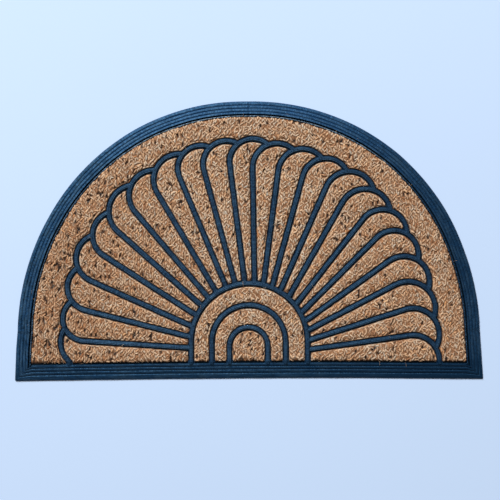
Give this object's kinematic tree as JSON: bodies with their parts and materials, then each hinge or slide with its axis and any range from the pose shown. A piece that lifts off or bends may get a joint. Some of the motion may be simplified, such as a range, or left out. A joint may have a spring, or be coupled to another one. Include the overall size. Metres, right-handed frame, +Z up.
{
  "type": "half-round coir doormat",
  "caption": "Half-round coir door mat in a ridged rubber border, its face divided by a raised rubber fan of hooked ribs round nested arches.",
  "frame": {"origin": "middle of the mat's box, on the floor under the backing", "axes": "+X along the straight edge, +Y from the straight edge towards the round edge, +Z up out of the walking face"},
  "size_m": [0.75, 0.45, 0.01],
  "materials": {
    "blue_rubber": "matte moulded rubber with fine ridges",
    "coir": "coarse natural coir pile, pressed"
  },
  "bodies": {
    "root": {"rubber_moulding": "blue_rubber", "coir_cloth": "coir"}
  },
  "joints": []
}
